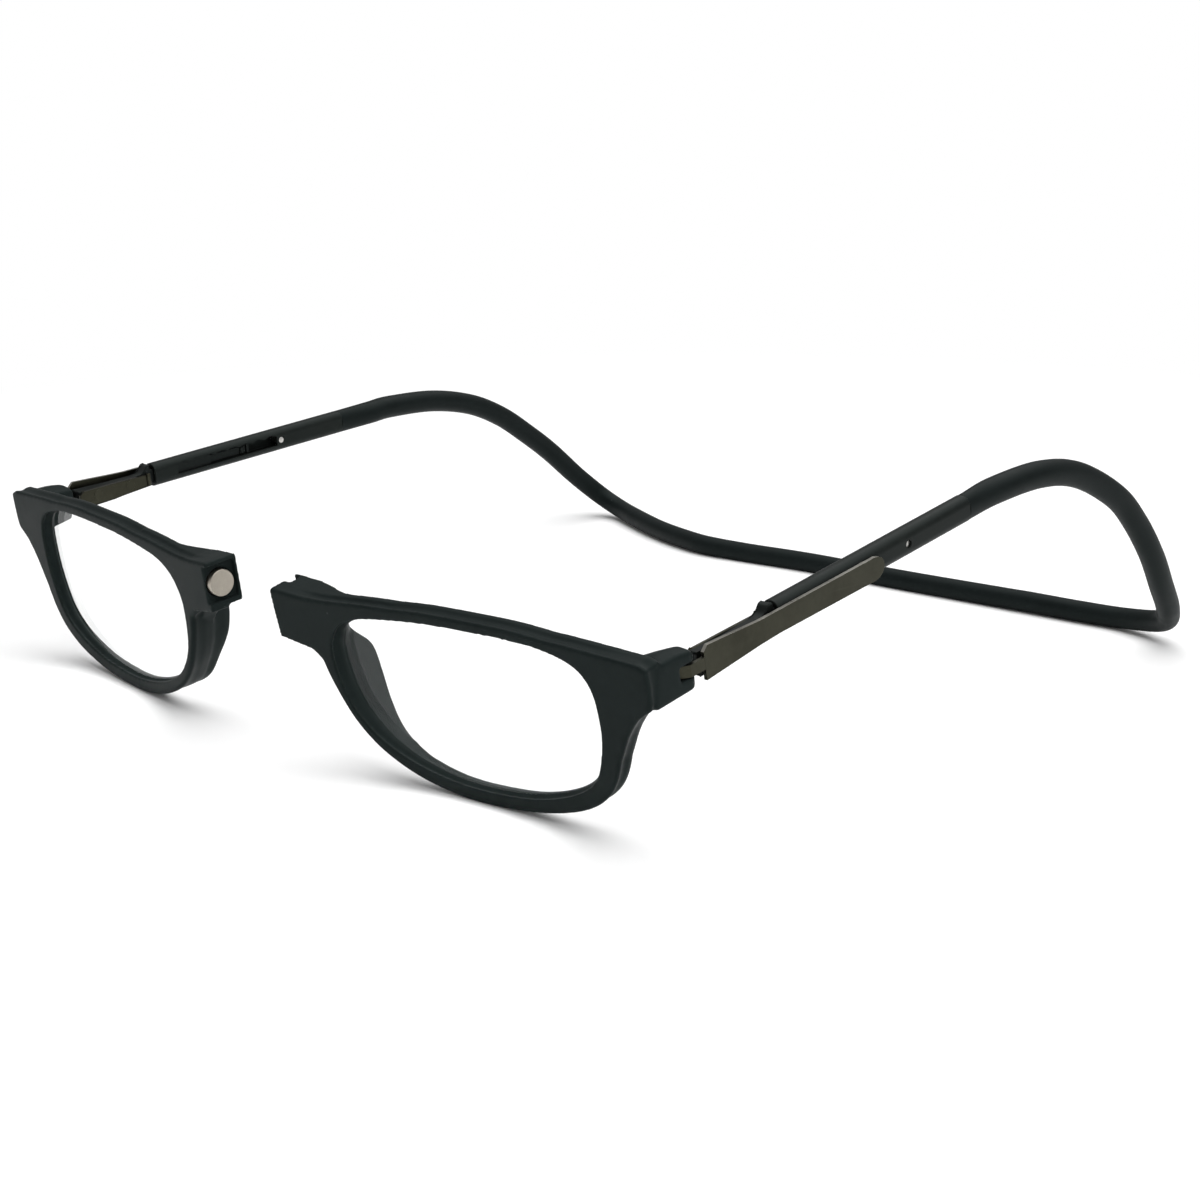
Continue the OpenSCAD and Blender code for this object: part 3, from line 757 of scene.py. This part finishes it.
# The arms, drawn in side view: distance back along the arm and height.
# The plate's inner face across, the click's place, the stop pin's place, then the sleeve and its window
PLATE_X, PLATE_T = 1.7, 0.6
CLICK_X, CLICK_S, STOP_S = -0.6, 20.3, 29.2
SLEEVE_T, SLEEVE_H, SLEEVE_END = 3.2, 4.3, 44.3
WINDOW_START, WINDOW_LONG, WINDOW_LOW, WINDOW_HIGH, TOOTH_TOP, TEETH = 5, 23.2, -0.9, 0.9, 1.3, 8


def arm_part(outline, low, high, edge):
    return soften(slab(outline, high - low, ON_ARM @ move(0, 0, low)), edge, 2, 35)


plate_line = [
    (-16.4, -2.9), (-9.6, -2.48), (-5, -2.15), (-1, -2.02), (4, -2.08), (10, -2.2), (20.2, -2.3),
    (21.2, -2.1), (22, -1.6), (22.4, -1), (22.5, -0.4), (22.4, 0.2), (22, 0.75), (21.4, 1.1), (20.6, 1.3),
    (8, 1.34), (-4.8, 1.42), (-8, 1.62), (-12, 1.9), (-15.5, 2.12), (-16.4, 1.3)]


def outer_plate_piece():
    """Sheet with the tongue that is rolled round the hinge pin. Its upward-facing upper edge takes a paler
    bronze: a painted highlight.
    """
    sheet = slab(plate_line, PLATE_T, ON_ARM @ move(0, 0, PLATE_X))
    bend = [(PLATE_X, -15.6), (PLATE_X, -18.2), (0.9, PIN_S + 0.9), (0.7, PIN_S - 0.9),
            (2.3, -19.2), (2.3, -15.6)]
    tongue = slab(bend, TONGUE_H, move(0, 0, PIN_H - TONGUE_H / 2))
    eye = disc(1.45, TONGUE_H, move(PIN_X, PIN_S, PIN_H - TONGUE_H / 2), segments=48)
    bore = disc(0.7, 6, move(PIN_X, PIN_S, PIN_H - 3))
    bm = fitted(sheet, [("UNION", tongue), ("UNION", eye), ("DIFFERENCE", bore)])
    bmesh.ops.remove_doubles(bm, verts=bm.verts, dist=1e-4)
    bmesh.ops.dissolve_limit(bm, angle_limit=math.radians(1), verts=bm.verts[:], edges=bm.edges[:])
    soften(bm, 0.12, 2, 35)
    # Faces along the upper edge that turn upwards take the paler second material: a painted highlight.
    for face in bm.faces:
        middle = face.calc_center_median()
        upward_highlight = face.normal.z > 0.35 and face.normal.x > -0.3
        face.material_index = int(upward_highlight and middle.x > 1.68 and middle.y > -16.6)
    return bm


def rail_piece():
    """Body with the raised tab, filler behind the outer plate, and the tail in the sleeve."""
    tabbed = [(-16.2, 0.85), (-16.2, -2.6), (-9, -2.3), (-0.6, -1.7), (-0.6, 1.9), (-0.85, 2.15), (-1.3, 2.1),
              (-1.6, 1.85), (-1.9, 1.45), (-2.2, 1.1), (-2.9, 0.8), (-4.2, 0.65), (-10, 0.72)]
    back = arm_part(tabbed, -0.9, 0.9, 0.22)
    filler = arm_part([(-15.6, 0.6), (-15.6, -2.4), (-9, -2.1), (-0.6, -1.6), (-0.6, 0.4)], 0.5, 1.68, 0.1)
    tail = soften(block((1.7, 23, 2.4), (0, 10.5, 0)), 0.15, 2, 35)
    notch = block((2.65, 8.4, 1.8), (-3 + 2.65 / 2, 17.2, 0))
    room = disc(0.6, 1.8, move(CLICK_X, CLICK_S, -0.9), segments=32)
    return joined(back, filler, cut(tail, notch, room))


def inner_plate_piece():
    """Thin plate on the arm's inner side, with a curled end."""
    outline = [(-16.2, 0.2), (-15.4, 0.78), (-9, 0.7), (-1.2, 0.6), (-1.2, -1.4), (-9, -2), (-15, -2.2),
               (-16.2, -1.4)]
    sheet = arm_part(outline, -1.45, -0.92, 0.1)
    curl = disc(0.45, 2.2, move(-1.4, -1.5, -1.4), 0.12, 32)
    return joined(sheet, curl)


def rivets_piece():
    """Two rivets, each a shank and a low head."""
    return joined(*[pin_piece(radius, length, move(x, s, -0.5) @ across) for s in (-12.5, -5.5)
                    for radius, length, x in ((0.6, 3.1, -1.45), (0.9, 0.12, -1.55))])


def rounded_ring(width, height, corner, s):
    made, count = [], 8
    for cx, cz, start in ((1, 1, 0), (-1, 1, 90), (-1, -1, 180), (1, -1, 270)):
        for i in range(count):
            a = math.radians(start + 90 * i / (count - 1))
            made.append((cx * (width / 2 - corner) + corner * math.cos(a), s,
                         cz * (height / 2 - corner) + corner * math.sin(a)))
    return made


def window_tool():
    """The sleeve's long window with a row of notches for the click."""
    top = []
    for i in range(TEETH + 1):
        top.append((WINDOW_START + WINDOW_LONG * i / TEETH, WINDOW_HIGH))
        if i < TEETH:
            top.append((WINDOW_START + WINDOW_LONG * (i + 0.5) / TEETH, TOOTH_TOP))
    bottom = [(WINDOW_START, WINDOW_LOW), (WINDOW_START + WINDOW_LONG, WINDOW_LOW)]
    return slab(bottom + top[::-1], 1.8, ON_ARM @ move(0, 0, -2.6))


def sleeve_piece():
    """Rounded bar with a bore for the rail. The bar's end rings are drawn in, the bore's first ones out."""
    bar = draw_through([rounded_ring(SLEEVE_T - 2 * i, SLEEVE_H - 2 * i, 1.45 - i, s) for s, i in
                        ((0, 0.12), (0.05, 0.04), (0.14, 0), (44.2, 0), (SLEEVE_END, 0.08))])
    bore = draw_through([rounded_ring(1.9 + 2 * i, 2.6 + 2 * i, 0.3 + i, s) for s, i in
                         ((-1, 0.12), (0.15, 0.12), (0.35, 0), (44.1, 0), (45, 0))])
    return cut(bar, bore, window_tool(), disc(0.62, 8, move(-4, STOP_S, 0) @ across, segments=32))


def spring_piece():
    strip = soften(block((0.3, 8.1, 1.4), (-0.5, 17.15, 0)), 0.05, 2, 35)
    return joined(strip, disc(0.5, 1.2, move(CLICK_X, CLICK_S, -0.6), 0.08, 32))


for side in SIDES:
    place = to_row @ half[side] @ arm_place
    add_piece("arm_plate_" + side, outer_plate_piece(), place, plate_bronze, ("outer_plate_" + side,),
              60, painted_highlight_edge)
    add_piece("slide_rail_" + side, rail_piece(), place, rail_black, ("arm_rail_" + side,),
              60)
    add_piece("lining_plate_" + side, inner_plate_piece(), place, plate_bronze, ("inner_plate_" + side,),
              60)
    add_piece("arm_rivets_" + side, rivets_piece(), place, plate_bronze, ("rivets_" + side,),
              50)
    add_piece("click_strip_" + side, spring_piece(), place, rail_black, ("click_spring_" + side,),
              60)
    add_piece("arm_sleeve_" + side, sleeve_piece(), place, sleeve_black, ("sleeve_" + side,),
              50)
    add_piece("sleeve_pin_" + side, pin_piece(0.6, 2.9, move(-1.6, STOP_S, 0) @ across), place, pin_steel,
              ("stop_pin_" + side,), 50)


# The neck band, from the right sleeve round the back to the left sleeve: places and thickness
ALONG_SLEEVE, BAND_SPLIT, BAND_CORNERS = (36.3, 44.3, 52.3), (12, 144.8, 1.7), 28
route_right = [
    (77.2, 96.4, 40.2, 4.4), (77.5, 106.3, 38.5, 4.3), (78, 116.4, 33.4, 4.2), (78, 122.6, 28, 4.2),
    (77.5, 128.7, 21.3, 4.2), (76, 134.6, 14.6, 4.2), (73.5, 141.2, 8.4, 4.1), (69, 147, 4.2, 4),
    (60, 149.4, 2.3, 3.9), (50, 148.6, 2, 3.9), (40, 147.6, 2, 3.9)]
route_back = [
    (33.6, 147, 1.9, 3.9), (*BAND_SPLIT, 3.9), (-9, 143, 1.7, 3.9), (-24, 140.4, 1.7, 3.9),
    (-33.6, 138.8, 1.9, 3.9)]
route_left = [
    (-76.9, 91.1, 32.2, 4.4), (-77.2, 102.5, 31.7, 4.3), (-77.4, 112.9, 29.5, 4.2), (-77.5, 121.3, 25.8, 4.2),
    (-77.5, 128.6, 21, 4.2), (-77.5, 135.5, 15.9, 4.2), (-77, 142.4, 9.8, 4.1), (-75, 147.8, 4.8, 4),
    (-69.5, 148.6, 2.4, 3.9), (-60, 145, 2.1, 3.9), (-50, 141.5, 2, 3.9), (-40, 139.2, 2, 3.9)]


def sleeve_point(side, s):
    return (*(half[side] @ arm_place @ Vector((0, s, 0))), 4.4)


def band_line():
    right = [sleeve_point("right", s) for s in ALONG_SLEEVE] + route_right
    left = [sleeve_point("left", s) for s in ALONG_SLEEVE] + route_left
    return open_curve(right + route_back + left[::-1], 10)


def band_ring(line, i):
    """The band's section, narrower near its ends and flattened where it would pass the floor."""
    x, y, z, across_d = line[i]
    before, after = line[max(0, i - 1)], line[min(len(line) - 1, i + 1)]
    along = (Vector(after[:3]) - Vector(before[:3])).normalized()
    side_way = along.cross(Vector((0, 0, 1))).normalized()
    up = side_way.cross(along)
    end = min(i, len(line) - 1 - i)
    narrow = 1 - 0.24 * (1 - smooth_step(0, 12, end))
    made = []
    for j in range(BAND_CORNERS):
        a = -2 * math.pi * (j + 0.5) / BAND_CORNERS
        p = Vector((x, y, z)) + (side_way * math.cos(a) * narrow + up * math.sin(a)) * across_d / 2
        made.append((p.x, p.y, max(p.z, 0)))
    return made


line = band_line()
split = min(range(len(line)), key=lambda i: (Vector(line[i][:3]) - Vector(BAND_SPLIT)).length)
for side, part in (("right", range(0, split + 1)), ("left", range(split, len(line)))):
    tube = draw_through([band_ring(line, i) for i in part])
    band = add_piece("neck_band_" + side, tube, to_row, band_rubber, ("band_" + side, "band_back"),
                     60)
    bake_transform(band)


# What each piece rides on
for side in SIDES:
    for stem, body in (("front_moulding_", "front_"), ("magnet_disc_", "front_"), ("hinge_steel_", "front_"),
                       ("arm_plate_", "arm_"), ("slide_rail_", "arm_"), ("lining_plate_", "arm_"),
                       ("arm_rivets_", "arm_"), ("click_strip_", "arm_"), ("arm_sleeve_", "side_"),
                       ("sleeve_pin_", "side_")):
        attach(bpy.data.objects[stem + side], body + side)
    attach(bpy.data.objects["lens_" + side + "_glass"], "front_" + side)


# Floor, light and camera
def floor_material():
    mat, tree, shader, where = new_material("pale floor", specular=0.1)
    patch = place_group(tree, handling, where, Scale=3.0, Low=0.8, High=0.9)
    tone = colour_mix(tree, patch["Patch"], (0.93, 0.93, 0.93), (0.95, 0.95, 0.95))
    wire(tree, (tone, shader.inputs["Base Color"]), (patch["Value"], shader.inputs["Roughness"]))
    apart = tree.nodes.new("ShaderNodeSeparateXYZ")
    wire(tree, (where, apart.inputs[0]))
    out = number(tree, "SQRT", number(tree, "ADD", number(tree, "POWER", apart.outputs["X"], 2),
                                      number(tree, "POWER", apart.outputs["Y"], 2)))
    far = spread(tree, out, 0.14, 0.32)
    path = tree.nodes.new("ShaderNodeLightPath")
    direct = number(tree, "ADD", path.outputs["Is Camera Ray"], path.outputs["Is Glossy Ray"])
    seen = number(tree, "ADD", direct, path.outputs["Is Transmission Ray"], True)
    white = tree.nodes.new("ShaderNodeEmission")
    white.inputs["Strength"].default_value = 1.0
    mix = tree.nodes.new("ShaderNodeMixShader")
    wire(tree, (number(tree, "MULTIPLY", far, seen), mix.inputs["Fac"]), (shader.outputs[0], mix.inputs[1]),
         (white.outputs[0], mix.inputs[2]), (mix.outputs[0], tree.nodes["Material Output"].inputs["Surface"]))
    return mat


def pale_floor():
    bm = bmesh.new()
    bmesh.ops.create_grid(bm, x_segments=2, y_segments=2, size=12)
    mesh = bpy.data.meshes.new("floor")
    bm.to_mesh(mesh)
    bm.free()
    mesh.materials.append(floor_material())
    obj = bpy.data.objects.new("floor", mesh)
    bpy.context.scene.collection.objects.link(obj)


def soft_world():
    world = bpy.data.worlds.new("studio")
    world.use_nodes = True
    tree = world.node_tree
    tree.nodes.clear()
    path = tree.nodes.new("ShaderNodeLightPath")
    seen = number(tree, "ADD", path.outputs["Is Camera Ray"], path.outputs["Is Transmission Ray"], True)
    dim, white = tree.nodes.new("ShaderNodeBackground"), tree.nodes.new("ShaderNodeBackground")
    dim.inputs["Strength"].default_value = 0.36
    white.inputs["Strength"].default_value = 1.0
    for node in (dim, white):
        node.inputs["Color"].default_value = (1, 1, 1, 1)
    mix, out = tree.nodes.new("ShaderNodeMixShader"), tree.nodes.new("ShaderNodeOutputWorld")
    wire(tree, (seen, mix.inputs["Fac"]), (dim.outputs[0], mix.inputs[1]), (white.outputs[0], mix.inputs[2]),
         (mix.outputs[0], out.inputs["Surface"]))
    bpy.context.scene.world = world


def softbox(name, place, aim, size, power):
    data = bpy.data.lights.new(name, "AREA")
    data.shape = "RECTANGLE"
    data.size, data.size_y = size
    data.energy = power
    obj = bpy.data.objects.new(name, data)
    bpy.context.scene.collection.objects.link(obj)
    obj.location = place
    obj.rotation_euler = (Vector(aim) - Vector(place)).to_track_quat("-Z", "Y").to_euler()


def shop_camera():
    azimuth, height, roll = math.radians(45.87), math.radians(15.3), math.radians(-0.76)
    ahead = Vector((-math.sin(azimuth) * math.cos(height), math.cos(azimuth) * math.cos(height),
                    -math.sin(height)))
    level = Vector((math.cos(azimuth), math.sin(azimuth), 0))
    up = level.cross(ahead)
    right = math.cos(roll) * level + math.sin(roll) * up
    top = -math.sin(roll) * level + math.cos(roll) * up
    data = bpy.data.cameras.new("camera")
    data.lens, data.sensor_width = 72, 36
    data.shift_x, data.shift_y = 0.0028, -0.0023
    data.clip_start, data.clip_end = 0.01, 50
    obj = bpy.data.objects.new("camera", data)
    bpy.context.scene.collection.objects.link(obj)
    frame_axes = Matrix((right, top, -ahead)).transposed()
    obj.matrix_world = Matrix.Translation((0.29308, -0.28462, 0.12206)) @ frame_axes.to_4x4()
    bpy.context.scene.camera = obj


pale_floor()
soft_world()
softbox("overhead", (0.05, 0.15, 0.75), (0, 0, 0), (1.3, 1.1), 9.5)
softbox("left window", (-0.55, -0.45, 0.35), (0, 0, 0.02), (0.5, 0.5), 0.2)
softbox("right window", (0.8, -0.1, 0.35), (0, 0, 0.02), (0.5, 0.5), 1.5)
shop_camera()
bpy.context.scene.view_settings.view_transform = "Standard"
